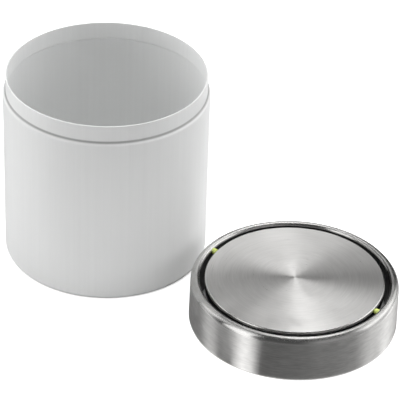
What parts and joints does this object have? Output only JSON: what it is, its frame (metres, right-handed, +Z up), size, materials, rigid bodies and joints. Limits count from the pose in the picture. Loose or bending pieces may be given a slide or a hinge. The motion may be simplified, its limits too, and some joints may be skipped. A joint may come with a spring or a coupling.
{
  "type": "waste bin",
  "caption": "Round table-top waste bin: white steel vessel with a drawn-in neck, and a lift-off brushed-steel lid ring holding a counterweighted swing flap.",
  "frame": {"origin": "centre of the vessel's foot on the table, at the underside of its base pad", "axes": "+Z up along the vessel; +X from the vessel to the lid that stands beside it; +Y completes the frame"},
  "size_m": [0.2515, 0.12, 0.1175],
  "materials": {
    "white_coating": "satin white coat",
    "pad_rubber": "matt black",
    "band_steel": "brushed round the band",
    "cap_steel": "turned, fine rings round the middle",
    "black_plastic": "fine matt grain",
    "lime_plastic": "semi-gloss lime green",
    "zinc_steel": "zinc plated",
    "screw_steel": "zinc plated"
  },
  "bodies": {
    "bin": {"vessel": "white_coating", "base_pad": "pad_rubber"},
    "lid": {"lid_ring": "band_steel", "lid_carrier": "black_plastic", "pivot_pin_left": "lime_plastic", "pivot_pin_right": "lime_plastic"},
    "flap": {"flap_disc": "cap_steel", "flap_frame": "black_plastic", "counterweight": "zinc_steel", "flap_cover": "black_plastic", "cover_screws": "screw_steel"}
  },
  "joints": [
    {"name": "lid_lift", "type": "slide", "parent": "bin", "child": "lid", "axis": [0, 0, 1], "range_m": [0, 0.16]},
    {"name": "flap_swing", "type": "hinge", "parent": "lid", "child": "flap", "pos_m": [0.1315, 0, 0.02485], "axis": [0.9995, 0.0314, 0], "continuous": true}
  ]
}
